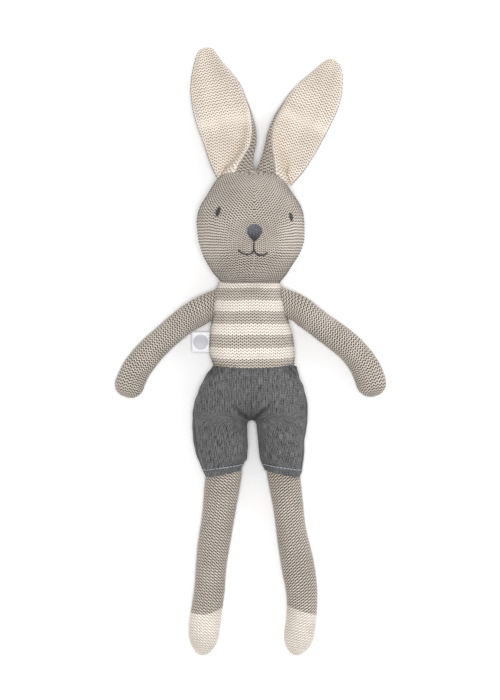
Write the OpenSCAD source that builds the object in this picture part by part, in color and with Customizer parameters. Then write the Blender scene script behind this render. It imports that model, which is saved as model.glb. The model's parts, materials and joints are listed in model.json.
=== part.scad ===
// Knitted bunny doll in shorts, lying on its back.
// +Y runs from the feet to the ears, +Z out of the belly, +X to the toy's own left.
// The origin is on the flat of the back, under the middle of the chest.

/* [Fabric] */
// Thickness of the knitted covers
knit = 1.8; // [1.4:0.1:2.2]
// Thickness of the shorts' woven cloth
cloth = 0.8; // [0.5:0.1:0.9]
// Room between neighbouring pieces
gap = 0.3; // [0.2:0.05:0.4]

/* [Head] */
// Width of the head
head_w = 70; // [66:1:74]
// Depth of the head, face to nape
head_d = 60; // [56:1:62]
// Distance of the head's widest line from the origin
head_y = 70.8; // [70:0.2:72]
// Height of the head above its widest line
crown_h = 32.8; // [31:0.2:34]
// Length from the widest line to the flat chin
chin_h = 39; // [38:0.2:39.2]

/* [Ears] */
// Length of an ear from its base seam
ear_len = 84; // [78:1:88]
// Widest width of an ear
ear_w = 38; // [34:1:40]
// Width of an ear's pinched base
ear_base_w = 12; // [10:1:13]
// Thickness of each of an ear's two layers
ear_layer = 3; // [2.6:0.2:3.2]
// Outward lean of the left and the right ear
ear_lean = [23, 8];
// Base seam of the left and the right ear, across and along
ear_root = [[20.5, 103.6], [16.4, 105.4]];
// Height of the ears' base seams
ear_root_z = 26; // [25:0.5:27]

/* [Body] */
// Half width of the body at the chest
chest_hw = 24; // [23:0.2:24.4]
// Half width of the body at its widest
belly_hw = 28; // [27:0.2:28.2]
// Depth of the body, belly to back
torso_d = 40; // [38:0.5:40]
// Height of the seam lines at the neck, shoulders and hips
seam_z = 20; // [19.5:0.1:20.5]
// Distance of the neck seam from the origin
neck_y = 31; // [30.8:0.1:31.2]
// Radius of the gathered neck
neck_r = 8.6; // [8:0.1:8.8]
// Length of the gathered neck, side to side
neck_w = 36; // [32:1:37]

/* [Arms] */
// Half width of the arm at the shoulder
shoulder_hw = 7.6; // [7:0.1:8]
// Half width of the hand
hand_r = 9.4; // [9:0.1:9.8]
// Distance of the shoulder fold from the middle
shoulder_x = 28.8; // [28.6:0.1:29.4]

/* [Legs] */
// Radius of the thigh
thigh_r = 11.6; // [11:0.1:11.7]
// Radius of the ankle
ankle_r = 10.4; // [10:0.1:10.6]
// Distance of the hip fold below the origin
hip_y = 47; // [46.8:0.1:48]
// Length from the hip fold to the toe
leg_len = 167; // [160:1:168]
// Length from the hip fold to the change of yarn
shin_len = 137.5; // [130:0.5:140]

/* [Shorts] */
// Distance of the waist below the origin
waist_y = 22.5; // [22.2:0.1:23]
// Half width of the waist
waist_hw = 28.8; // [28.7:0.1:29.5]
// Half width of the seat
seat_hw = 38.2; // [37:0.2:39]
// Length from waist to crotch
rise = 35; // [34:0.5:35.5]
// Length of a short leg
inseam = 38; // [36:0.5:40]

/* [Hidden] */
$fn = 48;

grey_yarn = "#b8ada1";
cream_yarn = "#ebe3d6";
charcoal_thread = "#4c4a4c";
chambray = "#63646a";
pale_thread = "#aab0bb";
white_satin = "#dedee4";
wadding = "#f4f2ee";

left = 1;
right = -1;
big = 500;
thread_r = 0.6;
head_squareness = 2.1;
body_squareness = 2.5;
head_z = head_d / 2 - 0.6;
chin_reach = 48.3;
fold_r = 3.8;
limb_sides = 16;
body_sides = 24;
head_sides = 28;

// ---- rings and lofts ----

function bent(v, squareness) = sign(v) * pow(abs(v), 2 / squareness);
function unit(v) = v / norm(v);
function mix(a, b, t) = a + (b - a) * min(1, max(0, t));

// One ring of points: a superellipse about centre c with half axes u and v
function ring(c, u, v, squareness = 2, sides = limb_sides) = [
    for (i = [0 : sides - 1])
        c + bent(cos(360 * i / sides), squareness) * u + bent(sin(360 * i / sides), squareness) * v
];

// A closed solid through rings that have the same number of points
module loft(rings) {
    n = len(rings[0]);
    last = (len(rings) - 1) * n;
    walls = [
        for (k = [0 : len(rings) - 2], i = [0 : n - 1])
            let (a = k * n + i, b = k * n + (i + 1) % n)
                each [[a, b, b + n], [a, b + n, a + n]]
    ];
    low = [for (i = [n - 1 : -1 : 0]) i];
    high = [for (i = [0 : n - 1]) last + i];
    polyhedron(points = [for (r = rings) each r], faces = concat([low], walls, [high]));
}

// A ring across the toy at y, from half width hw and from height z0 to z1
function slice(y, x, hw, z0, z1, squareness, sides) =
    ring([x, y, (z0 + z1) / 2], [hw, 0, 0], [0, 0, (z1 - z0) / 2], squareness, sides);

// Everything above the surface that the toy lies on
module above_floor() {
    intersection() {
        children();
        translate([-big / 2, -big / 2, 0]) cube(big);
    }
}

// The half of space on one side of the plane z = height
module half_space(height, upper) {
    translate([-big / 2, -big / 2, upper ? height : height - big]) cube(big);
}

// ---- head ----

// Half width of the head at y, as a share of its widest
function head_share(y) =
    let (reach = y > head_y ? crown_h : chin_reach, t = (y - head_y) / reach)
        sqrt(max(0, 1 - t * t));

// The head's outer form, grown outward by grow
module head_form(grow) {
    top = head_y + crown_h;
    bottom = head_y - chin_h;
    low_steps = 6;
    high_steps = 7;
    ys = [
        for (i = [0 : low_steps - 1]) bottom - grow + (head_y - bottom + grow) * i / low_steps,
        for (i = [0 : high_steps]) head_y + (crown_h + grow) * sin(89 * i / high_steps)
    ];
    loft([
        for (y = ys)
            let (
                core = y > head_y ? head_y + (y - head_y) * crown_h / (crown_h + grow) : max(y, bottom),
                share = head_share(core),
                hw = head_w / 2 * share + grow * min(1, share * 2),
                hd = head_d / 2 * share + grow * min(1, share * 2)
            )
                slice(y, 0, hw, head_z - hd, head_z + hd, head_squareness, head_sides)
    ]);
}

// The hollow that lets the head nod about the gathered neck
module neck_clearance(extra) {
    translate([0, neck_y, seam_z]) rotate([0, 90, 0])
        cylinder(h = big, r = neck_r + gap + extra, center = true);
}

module head_panel(side) {
    difference() {
        above_floor() head_form(0);
        head_form(-knit);
        neck_clearance(gap);
        translate([side == left ? -big : 0, -big / 2, -1]) cube(big);
    }
}

module head_filling() {
    color(wadding) difference() {
        head_form(-knit - gap);
        neck_clearance(knit);
    }
}

// A patch of thread that follows the face, thick, over the outline given as children
module on_face(thick) {
    intersection() {
        translate([0, 0, head_z]) linear_extrude(head_d) children();
        difference() {
            head_form(thick);
            head_form(0.05);
        }
    }
}

module eye(x, y, tilt, w) {
    color(charcoal_thread) on_face(0.9)
        translate([x, y]) rotate(tilt) scale([w / 6, 1]) circle(d = 6);
}

module nose() {
    nose_w = 9.6;
    nose_y = 66;
    nose_x = 2.2;
    nose_tip = 7.4;
    color(charcoal_thread) on_face(2.4)
        translate([nose_x, nose_y]) hull() {
            for (s = [left, right]) translate([s * (nose_w / 2 - 2.4), 1]) circle(2.4, $fn = 24);
            translate([0, -nose_tip + 1.6]) circle(1.6, $fn = 24);
        }
}

// One straight stitch of the mouth from a to b
module stitch(a, b) {
    d = b - a;
    translate(a) rotate(atan2(d[1], d[0])) translate([-0.2, -0.5]) square([norm(d) + 0.4, 1]);
}

module mouth() {
    parting = [1.7, 51.8];
    color(charcoal_thread) on_face(0.9) union() {
        stitch(parting + [0.1, 6], parting);
        stitch([-8.1, 51.8], [-3.3, 49.6]);
        stitch([-3.3, 49.6], parting);
        stitch(parting, [5.2, 49.2]);
        stitch([5.2, 49.2], [10.4, 50.2]);
    }
}

// The thread ring round the head's open underside
module neck_seam() {
    ring_w = 20;
    ring_d = 15;
    thick = 0.8;
    color(grey_yarn) difference() {
        translate([0, head_y - chin_h - 0.05, seam_z + 4]) rotate([90, 0, 0]) linear_extrude(thick)
            difference() {
                scale([1, ring_d / ring_w]) circle(ring_w);
                scale([1, (ring_d - 1.4) / (ring_w - 1.4)]) circle(ring_w - 1.4);
            }
        neck_clearance(gap);
    }
}

// ---- ears ----

// Half width of an ear at the share t of its length
function ear_half(t) =
    let (widest = 0.4)
        t < widest
            ? ear_base_w / 2 + (ear_w - ear_base_w) / 2 * sin(90 * t / widest)
            : ear_w / 2 * sqrt(max(0, 1 - pow((t - widest) / (1 - widest), 2)));

module ear_outline() {
    steps = 14;
    ts = [for (i = [0 : steps]) sin(90 * i / steps)];
    polygon([
        for (t = ts) [ear_half(t), ear_len * t],
        for (i = [steps - 1 : -1 : 0]) [-ear_half(ts[i]), ear_len * ts[i]]
    ]);
}

// Puts an ear's flat pattern at its base seam, leaning out and drooping to the surface
module at_ear(side) {
    i = side == left ? 0 : 1;
    droop = asin((ear_root_z - ear_layer) / ear_len);
    translate([side * ear_root[i][0], ear_root[i][1], ear_root_z])
        rotate(-side * ear_lean[i]) rotate([-droop, 0, 0]) children();
}

module ear_back(side) {
    color(grey_yarn) above_floor() at_ear(side) {
        translate([0, 0, -ear_layer]) linear_extrude(ear_layer - 0.05) ear_outline();
        rotate([0, 90, 0]) cylinder(h = ear_base_w, r = ear_layer, center = true);
    }
}

module ear_lining(side) {
    color(cream_yarn) at_ear(side) difference() {
        translate([0, 0, 0.05]) linear_extrude(ear_layer - 0.05) ear_outline();
        rotate([0, 90, 0]) cylinder(h = big, r = ear_layer + gap, center = true);
    }
}

// ---- body ----

// The body's outer form, shrunk inward by inset
module torso_form(inset) {
    d = torso_d;
    hip_edge = -41.5;
    // along, half width, lowest and highest point
    stations = [
        [hip_edge, 23, seam_z - 3, seam_z + 3],
        [-38, 25, seam_z - 7.5, seam_z + 6.6],
        [-34.5, 26, seam_z - 13, seam_z + 13],
        [-29, 26.5, 2.2, d - 0.4],
        [-21, 26.5, 2.2, d],
        [-15, belly_hw, -0.4, d],
        [-4, belly_hw - 1.6, -0.6, d],
        [8, chest_hw, -0.6, d - 0.4],
        [17, chest_hw - 1.2, -0.4, d - 1.2],
        [22.5, chest_hw - 2.4, 1.5, d - 6.2],
        [27, 19, 5, seam_z + 5.8]
    ];
    loft([
        for (s = stations)
            let (y = min(max(s[0], hip_edge + inset), 27 - inset * 0.6))
                slice(y, 0, s[1] - inset, s[2] + inset * 0.9, s[3] - inset * 0.9, body_squareness, body_sides)
    ]);
}

// The body's cover, with the gathered neck that the head nods about
module torso_cover() {
    above_floor() difference() {
        union() {
            torso_form(0);
            translate([0, neck_y, seam_z]) rotate([0, 90, 0])
                cylinder(h = neck_w, r = neck_r, center = true);
        }
        torso_form(knit);
    }
}

module torso_front() {
    color(cream_yarn) intersection() {
        torso_cover();
        half_space(seam_z, true);
    }
}

module torso_back() {
    color(cream_yarn) intersection() {
        torso_cover();
        half_space(seam_z, false);
    }
}

module torso_filling() {
    color(wadding) torso_form(knit + gap);
}

// A folded satin tab in the right side seam
module side_label() {
    tab = [11.4, 12, 0.6];
    color(white_satin) translate([-belly_hw - 0.4 - tab[0], -14.4, 14]) cube(tab);
}

// ---- arms ----

shoulder_y = 14.6;
seam_lean = 5.6;

function arm_axis() = [sin(seam_lean), -cos(seam_lean), 0];
// The arm's middle line in plan, from the shoulder fold to the fingertips
function arm_path(t) =
    let (
        a = [shoulder_x, shoulder_y, 0],
        b = [66, -1.5, 0],
        c = [82, -43.5, 0]
    )
        a * (1 - t) * (1 - t) + b * 2 * t * (1 - t) + c * t * t;
function arm_dir(t) = unit(arm_path(t + 0.01) - arm_path(t - 0.01));
function arm_thick(t) = t < 0.3 ? fold_r + (8.4 - fold_r) * sin(300 * t) : mix(8.4, hand_r, (t - 0.3) / 0.5);

// One ring of the arm at the share t of its length, with its size cut by inset
function arm_ring(t, scale, inset) =
    let (
        across = cross(arm_dir(t), [0, 0, 1]),
        u = unit(mix(arm_axis(), across, t / 0.25)),
        hw = mix(shoulder_hw, hand_r, t / 0.75),
        b = arm_thick(t),
        z = b - 0.2 + max(0, seam_z - fold_r) * pow(max(0, 1 - t / 0.5), 2)
    )
        ring(arm_path(t) + [0, 0, z], u * (hw * scale - inset), [0, 0, b * scale - inset]);

module arm_form(inset) {
    straight = [0, 0.07, 0.15, 0.25, 0.4, 0.55, 0.7, 0.8];
    tip = 0.8;
    start = inset > 0 ? 1 : 0;
    loft([
        for (i = [start : len(straight) - 1]) arm_ring(straight[i], 1, inset),
        for (a = [25, 50, 72, 86])
            arm_ring(tip + (1 - tip - inset / 80) * sin(a), cos(a) + inset / hand_r * (1 - cos(a)), inset)
    ]);
}

module on_side(side) {
    mirror([side == left ? 0 : 1, 0, 0]) children();
}

module arm_cover(side) {
    color(grey_yarn) on_side(side) above_floor() difference() {
        union() {
            arm_form(0);
            translate([shoulder_x, shoulder_y, seam_z]) rotate([90, 0, seam_lean])
                cylinder(h = shoulder_hw * 2, r = fold_r, center = true);
        }
        arm_form(knit);
    }
}

module arm_filling(side) {
    color(wadding) on_side(side) arm_form(knit + gap);
}

// The thread line of the shoulder, just outside the body
module shoulder_seam(side) {
    seam_x = 23.95;
    color(grey_yarn) on_side(side)
        translate([seam_x, shoulder_y, seam_z]) rotate([90, 0, 6])
            cylinder(h = shoulder_hw * 2 - 2.2, r = thread_r, center = true, $fn = 24);
}

// ---- legs ----

hip_x = 14.2;
knee_x = 20.2;
foot_x = 31;

// The leg's middle line in plan, at the distance s from the hip fold
function leg_x(s) =
    s < 49 ? mix(hip_x, knee_x, s / 49) : s < 130 ? mix(knee_x, foot_x - 0.4, (s - 49) / 81) : foot_x;
function leg_thick(s) =
    s < 20 ? fold_r + (thigh_r - fold_r) * sin(4.5 * s) : mix(thigh_r, ankle_r, (s - 20) / 90);

function leg_ring(s, scale, inset) =
    let (
        b = leg_thick(s),
        hw = mix(thigh_r - 0.6, thigh_r, s / 20) - mix(0, thigh_r - ankle_r, (s - 20) / 90),
        under = max(0, (seam_z - fold_r) * (1 - s / 30) , 8.6 * (1 - s / 62))
    )
        ring(
            [leg_x(s), -hip_y - s, under + b - 0.2],
            [-(hw * scale - inset), 0, 0], [0, 0, b * scale - inset]
        );

module leg_form(inset) {
    tip = leg_len - 15;
    start = inset > 0 ? 1 : 0;
    straight = [0, 5, 10, 20, 49, 75, 100, 130, tip];
    loft([
        for (i = [start : len(straight) - 1]) leg_ring(straight[i], 1, inset),
        for (a = [25, 50, 70, 85])
            leg_ring(tip + (leg_len - tip - inset) * sin(a), cos(a) + inset / ankle_r * (1 - cos(a)), inset)
    ]);
}

module leg_shell() {
    above_floor() difference() {
        union() {
            leg_form(0);
            translate([hip_x, -hip_y, seam_z]) rotate([0, 90, 0])
                cylinder(h = thigh_r * 2 - 1.2, r = fold_r, center = true);
        }
        leg_form(knit);
    }
}

module leg_cover(side) {
    color(grey_yarn) on_side(side) intersection() {
        leg_shell();
        translate([-big / 2, -hip_y - shin_len, -1]) cube(big);
    }
}

module foot_cover(side) {
    color(cream_yarn) on_side(side) difference() {
        leg_shell();
        translate([-big / 2, -hip_y - shin_len - 0.05, -1]) cube(big);
    }
}

module leg_filling(side) {
    color(wadding) on_side(side) leg_form(knit + gap);
}

// The thread line that closes the body at the hip, inside the shorts
module hip_seam(side) {
    color(grey_yarn) on_side(side)
        translate([hip_x, -hip_y + fold_r + 0.95, seam_z]) rotate([0, 90, 0])
            cylinder(h = thigh_r * 2 - 4, r = thread_r, center = true, $fn = 24);
}

// ---- shorts ----

// The seat's outer form, shrunk inward by inset
module seat_form(inset) {
    end = inset > 0 ? 1 : 0;
    stations = [
        [-waist_y + end, waist_hw, 0, 42.4],
        [-waist_y - 6, waist_hw + 1.6, 0, 44.4],
        [-waist_y - 16, seat_hw - 3.4, 0, 45],
        [-waist_y - 27, seat_hw - 0.2, 0, 44],
        [-waist_y - rise - end, seat_hw, 0, 42]
    ];
    loft([
        for (i = [len(stations) - 1 : -1 : 0])
            let (s = stations[i])
                slice(s[0], 0, s[1] - inset, s[2] + inset, s[3] - inset, body_squareness, body_sides)
    ]);
}

module seat_half(upper) {
    color(chambray) intersection() {
        difference() {
            seat_form(0);
            seat_form(cloth);
        }
        half_space(seam_z, upper);
    }
}

module shorts_seat_front() {
    seat_half(true);
}

module shorts_seat_back() {
    seat_half(false);
}

module waist_elastic() {
    band = 5;
    elastic = 0.7;
    module band_form(inset, over) {
        hw = waist_hw - cloth - gap;
        loft([
            for (y = [-waist_y - band - 1 - over, -waist_y - 1 + over])
                slice(y, 0, hw - inset, 1 + inset, 41.3 - inset, body_squareness, body_sides)
        ]);
    }
    color("white") difference() {
        band_form(0, 0);
        band_form(elastic, 1);
    }
}

// A short leg's outer form, shrunk inward by inset and run past its ends by over
module short_leg_form(inset, over, from, to) {
    top = -waist_y - rise - 0.5;
    // distance below the top, middle, half width, lowest and highest point
    stations = [
        [0, 20.6, 17.4, 0, 38],
        [0.5 * inseam, 19.7, 16.6, 0, 33],
        [inseam - 5, 19.8, 14, 0.5, 28.6],
        [inseam, 20, 13.2, 0.7, 27.6]
    ];
    loft([
        for (i = [to : -1 : from])
            let (
                s = stations[i],
                y = top - s[0] + (i == from ? over : i == to ? -over : 0)
            )
                slice(y, s[1], s[2] - inset, s[3] + inset, s[4] - inset, body_squareness, body_sides)
    ]);
}

module shorts_leg(side) {
    color(chambray) on_side(side) difference() {
        short_leg_form(0, 0, 0, 3);
        short_leg_form(cloth, 1, 0, 3);
    }
}

// The line of top-stitching that holds the folded hem
module hem_stitch(side) {
    row = 1;
    color(pale_thread) on_side(side) intersection() {
        difference() {
            short_leg_form(-0.5, 0, 0, 3);
            short_leg_form(-0.05, 1, 0, 3);
        }
        translate([0, -waist_y - rise - inseam + 4.5, big / 2]) cube([big, row, big], center = true);
    }
}

// ---- nodes ----

color(grey_yarn) head_panel(left);  // head_panel_left
color(grey_yarn) head_panel(right);  // head_panel_right
head_filling();
eye(26, 73.5, 12, 2.6);  // eye_left
eye(-21.5, 76.8, -22, 3.4);  // eye_right
nose();
mouth();
neck_seam();
ear_lining(left);  // ear_left_lining
ear_back(left);  // ear_left_back
ear_lining(right);  // ear_right_lining
ear_back(right);  // ear_right_back
torso_front();
torso_back();
torso_filling();
side_label();
shoulder_seam(left);  // shoulder_seam_left
shoulder_seam(right);  // shoulder_seam_right
arm_cover(left);  // arm_left_cover
arm_filling(left);  // arm_left_filling
arm_cover(right);  // arm_right_cover
arm_filling(right);  // arm_right_filling
hip_seam(left);  // hip_seam_left
hip_seam(right);  // hip_seam_right
leg_cover(left);  // leg_left_cover
foot_cover(left);  // foot_left_cover
leg_filling(left);  // leg_left_filling
leg_cover(right);  // leg_right_cover
foot_cover(right);  // foot_right_cover
leg_filling(right);  // leg_right_filling
shorts_seat_front();
shorts_seat_back();
waist_elastic();
shorts_leg(left);  // shorts_leg_left
shorts_leg(right);  // shorts_leg_right
hem_stitch(left);  // hem_stitch_left
hem_stitch(right);  // hem_stitch_right
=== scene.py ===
import json
import math

import bpy
import numpy as np
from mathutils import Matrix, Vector


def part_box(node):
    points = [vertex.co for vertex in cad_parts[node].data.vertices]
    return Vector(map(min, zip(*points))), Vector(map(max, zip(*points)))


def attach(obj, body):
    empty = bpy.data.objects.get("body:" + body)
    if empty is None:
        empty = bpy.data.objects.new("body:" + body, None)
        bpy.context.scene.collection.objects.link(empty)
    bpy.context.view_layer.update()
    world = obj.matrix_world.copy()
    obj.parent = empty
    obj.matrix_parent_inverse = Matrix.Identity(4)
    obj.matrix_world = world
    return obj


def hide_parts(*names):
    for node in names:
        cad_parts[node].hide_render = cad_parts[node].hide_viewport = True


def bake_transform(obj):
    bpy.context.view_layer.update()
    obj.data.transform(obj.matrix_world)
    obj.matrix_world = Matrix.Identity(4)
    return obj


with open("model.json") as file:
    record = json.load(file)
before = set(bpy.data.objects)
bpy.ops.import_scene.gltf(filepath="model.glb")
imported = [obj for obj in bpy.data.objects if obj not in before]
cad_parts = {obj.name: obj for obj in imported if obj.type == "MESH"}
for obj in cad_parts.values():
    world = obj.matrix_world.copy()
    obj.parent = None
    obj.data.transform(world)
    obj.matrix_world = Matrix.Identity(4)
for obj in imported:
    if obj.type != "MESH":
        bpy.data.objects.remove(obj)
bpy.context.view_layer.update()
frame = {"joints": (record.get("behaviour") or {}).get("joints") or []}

MM = 0.001
SIDES = {"left": 1.0, "right": -1.0}
WALE = 2.8  # width of a knitted stitch, mm
ROW = 1.92  # height of a knitted stitch, mm
PER_WALE = 8  # mesh points in a stitch's width
PER_ROW = 7  # mesh points in a stitch's height
STRIPE_ROWS = 4
SEAM_Z = 20.0

# ---- numbers


def lengths(p):
    """Length from the first point to each point, down the first axis."""
    steps = np.linalg.norm(np.diff(p, axis=0), axis=-1)
    return np.concatenate([np.zeros_like(steps[:1]), np.cumsum(steps, axis=0)])


def between(a, b, rise_a, rise_b, t):
    """Cubic curve from a to b at the shares t, with the given rises at its ends."""
    first = (2 * t**3 - 3 * t**2 + 1) * a + (t**3 - 2 * t**2 + t) * rise_a
    return first + (3 * t**2 - 2 * t**3) * b + (t**3 - t**2) * rise_b


def spline(x, xs, ys):
    """Smooth curve through the points xs, ys without overshoot; ys may hold vectors."""
    x, xs, ys = (np.asarray(value, float) for value in (x, xs, ys))
    flat = ys.ndim == 1
    if flat:
        ys = ys[:, None]
    step = np.diff(xs)[:, None]
    rise = np.diff(ys, axis=0) / step
    slope = np.zeros_like(ys)
    same = rise[1:] * rise[:-1] > 0
    both = np.where(same, rise[1:] + rise[:-1], 1)
    slope[1:-1] = np.where(same, 2 * rise[1:] * rise[:-1] / both, 0)
    slope[0], slope[-1] = rise[0], rise[-1]
    i = np.clip(np.searchsorted(xs, x, side="right") - 1, 0, len(xs) - 2)
    t = ((np.clip(x, xs[0], xs[-1]) - xs[i]) / step[i, 0])[..., None]
    out = between(ys[i], ys[i + 1], slope[i] * step[i], slope[i + 1] * step[i], t)
    return out[..., 0] if flat else out


def path(points, t):
    """Points at the shares t of the length of a smooth line through points."""
    points = np.asarray(points, float)
    along = lengths(points)
    step = np.diff(along)[:, None]
    rise = np.diff(points, axis=0) / step
    inner = (rise[1:] * step[:-1] + rise[:-1] * step[1:]) / (step[1:] + step[:-1])
    slope = np.vstack([rise[:1], inner, rise[-1:]])
    x = np.asarray(t, float) * along[-1]
    i = np.clip(np.searchsorted(along, x, side="right") - 1, 0, len(along) - 2)
    s = ((x - along[i]) / step[i, 0])[..., None]
    return between(points[i], points[i + 1], slope[i] * step[i], slope[i + 1] * step[i], s)


def ease(x, low, high):
    """0 below low, 1 above high, and smooth between them."""
    t = np.clip((np.asarray(x, float) - low) / (high - low), 0, 1)
    return t * t * (3 - 2 * t)


def hump(x, middle, width):
    """1 at the middle, and smoothly down to 0 on both sides."""
    return np.exp(-(((x - middle) / width) ** 2))


def lumps(p, seed, size, amount):
    """Soft uneven stuffing: a smooth wandering height over the points p."""
    r = np.random.default_rng(seed)
    total = np.zeros(p.shape[:-1])
    for _ in range(7):
        wave = r.normal(size=3)
        wave *= 2 * math.pi / (size * r.uniform(0.7, 1.6) * np.linalg.norm(wave))
        total += np.sin(p @ wave + r.uniform(0, 6.28))
    return amount * total / 2.6


def knit(u, v, seed, line=0.25, lean=0.0, zig=0.25, rise=1):
    """Stocking stitch at u stitches across and v rows up: its height, its painted gap shade, and the place
    in rows.

    The height is 0 in the gaps and 1 on the yarn. line is how far the gaps between rows show all along
    the yarn, lean is how far the gaps join into slanting lines that rise with u (rise 1) or fall with u
    (rise -1), and zig is how far the yarn zigzags.
    """
    r = np.random.default_rng(seed)
    p = r.uniform(0, 6.28, 6)
    u = u + 0.05 * np.sin(0.7 * v + p[0]) + 0.05 * np.sin(0.31 * v + 0.23 * u + p[1])
    v = v + 0.06 * np.sin(0.53 * u + p[2]) + 0.05 * np.sin(1.7 * u + 0.4 * v + p[3])
    wave = 2 * math.pi * u
    at = v - zig * np.arcsin(0.985 * np.sin(wave)) / 1.4
    row = np.round(at)
    away = np.abs(at - row) * 2
    turn = (1 - np.abs(np.cos(wave))) ** 0.35
    share = np.clip(line + 0.3 * lean * rise * np.cos(wave), 0, 1)
    slant = v - rise * u + (0.5 if rise > 0 else 0.0)
    slant = (1 - 2 * np.abs(slant - np.round(slant))) ** 1.5 * lean
    fat = 1 + 0.07 * np.sin(2.399 * row + p[4]) + 0.05 * np.sin(row * 1.3 + u * 0.9 + p[5])
    groove = np.maximum(share, 0.4)
    height = (1 - away**2 * (groove + (1 - groove) * turn)) * (1 - 0.25 * turn) * (1 - 0.45 * slant) * fat
    # how much painted shade the gaps and slanting lines get
    dark = np.maximum(away**1.05 * (share + (1 - share) * turn) + 0.05 * turn, slant)
    return np.clip(height, 0, 1.1), np.clip(dark, 0, 1), at


def unit(v):
    """The vectors v at length 1."""
    return v / np.maximum(np.linalg.norm(v, axis=-1, keepdims=True), 1e-9)


def turned(p, wrap, out):
    """Unit normals of a grid of points, out of the surface on the side that out says."""
    if wrap:
        du = np.roll(p, -1, 1) - np.roll(p, 1, 1)
    else:
        du = np.gradient(p, axis=1)
    return unit(np.cross(du, np.gradient(p, axis=0)) * out)


def raised(p, wrap, out, height):
    """The grid p, moved out of its surface by height."""
    return p + turned(p, wrap, out) * height[..., None]


def oval(angle, power):
    """Points at the angles of a squarish circle of radius 1; it is a true circle when power is 2."""
    c, s = np.cos(angle), np.sin(angle)
    return np.sign(c) * np.abs(c) ** (2 / power), np.sign(s) * np.abs(s) ** (2 / power)


def even_ovals(half, deep, power, turns, n):
    """Rings of n points, spaced evenly from angle turns[0] to turns[1]: across and up from their middles.

    Each ring has its own half width and half depth.
    """
    fine = np.linspace(*turns, 481)
    c, s = oval(fine, power)
    angle = np.empty((len(half), n))
    for k in range(len(half)):
        along = lengths(np.column_stack([half[k] * c, deep[k] * s]))
        angle[k] = np.interp(np.linspace(0, along[-1], n), along, fine)
    c, s = oval(angle, power)
    return half[:, None] * c, deep[:, None] * s


def row_steps(width, table):
    """Places down a table's first column, evenly spaced along the outline width, and their lengths."""
    fine = np.linspace(table[0, 0], table[-1, 0], 2001)
    along = lengths(np.column_stack([fine, width(fine)]))
    at = np.linspace(0, along[-1], int(round(along[-1] * (PER_ROW / ROW))) + 1)
    return np.interp(at, along, fine), at


# ---- meshes


def make(name, points, faces, layers=None, uv=None, material=None, smooth=True):
    """A mesh object from points in mm. layers are numbers at points, uv is one pair for each face corner."""
    mesh = bpy.data.meshes.new(name)
    faces = np.asarray(faces, np.int32)
    sides = faces.shape[1]
    mesh.vertices.add(len(points))
    mesh.vertices.foreach_set("co", (np.asarray(points, float) * MM).astype(np.float32).ravel())
    mesh.loops.add(faces.size)
    mesh.loops.foreach_set("vertex_index", faces.ravel())
    mesh.polygons.add(len(faces))
    mesh.polygons.foreach_set("loop_start", np.arange(0, faces.size, sides, dtype=np.int32))
    mesh.polygons.foreach_set("use_smooth", np.full(len(faces), smooth))
    mesh.update(calc_edges=True)
    for key, value in (layers or {}).items():
        layer = mesh.attributes.new(key, "FLOAT", "POINT")
        layer.data.foreach_set("value", np.asarray(value, np.float32).ravel())
    if uv is not None:
        layer = mesh.uv_layers.new(name="weave")
        layer.data.foreach_set("uv", np.asarray(uv, np.float32).ravel())
    mesh.validate(clean_customdata=False)
    obj = bpy.data.objects.new(name, mesh)
    bpy.context.collection.objects.link(obj)
    if material:
        mesh.materials.append(material)
    return obj


def quads(rows, n, wrap):
    """Faces of a grid of rows of n points."""
    i = np.arange(rows - 1)[:, None]
    j = np.arange(n if wrap else n - 1)[None]
    a = (i * n + j).ravel()
    b = (i * n + (j + 1) % n).ravel()
    return np.stack([a, b, b + n, a + n], 1)


def grid(name, p, wrap, out, layers=None, uv=None, material=None, tip=None):
    """A mesh from a grid of points (rows, points round, 3); tip is a point that closes the last ring."""
    rows, n = p.shape[:2]
    faces = quads(rows, n, wrap)
    points = p.reshape(-1, 3)
    values = {key: np.asarray(x, float).ravel() for key, x in (layers or {}).items()}
    if tip is not None:
        base, last = (rows - 1) * n, len(points)
        points = np.vstack([points, tip])
        values = {key: np.append(x, x[base]) for key, x in values.items()}
        k = np.arange(0, n, 2)
        ends = [base + k, base + (k + 1) % n, base + (k + 2) % n, np.full(len(k), last)]
        faces = np.vstack([faces, np.stack(ends, 1)])
    if uv is not None:
        uv = np.stack([g.ravel()[faces] for g in uv], -1)
    if out < 0:
        faces = faces[:, ::-1]
        uv = None if uv is None else uv[:, ::-1]
    return make(name, points, faces, values, uv, material)


def tube(line, radius, sides):
    """Points and faces of a thread along a line, with rounded ends."""
    line = np.asarray(line, float)
    direction = unit(np.gradient(line, axis=0))
    side = unit(np.cross(direction, [0.13, 0.21, 0.97]))
    up = np.cross(side, direction)
    along = lengths(line)
    near = np.minimum(along, along[-1] - along)
    size = radius * np.sqrt(np.clip(near / radius, 0.02, 1))
    angle = np.linspace(0, 2 * math.pi, sides, endpoint=False)[None, :, None]
    ring = side[:, None] * np.cos(angle) + up[:, None] * np.sin(angle)
    p = line[:, None] + ring * size[:, None, None]
    return p.reshape(-1, 3), quads(len(line), sides, True)


def threads(name, lines, radius, material, sides=8, shade=None):
    """One object made of many threads; shade gives how dark each point is."""
    points, faces, start = [], [], 0
    for line in lines:
        p, f = tube(line, radius, sides)
        points.append(p)
        faces.append(f + start)
        start += len(p)
    points = np.vstack(points)
    layers = {"shade": shade(points)} if shade else None
    return make(name, points, np.vstack(faces), layers, material=material)


# ---- materials


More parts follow.
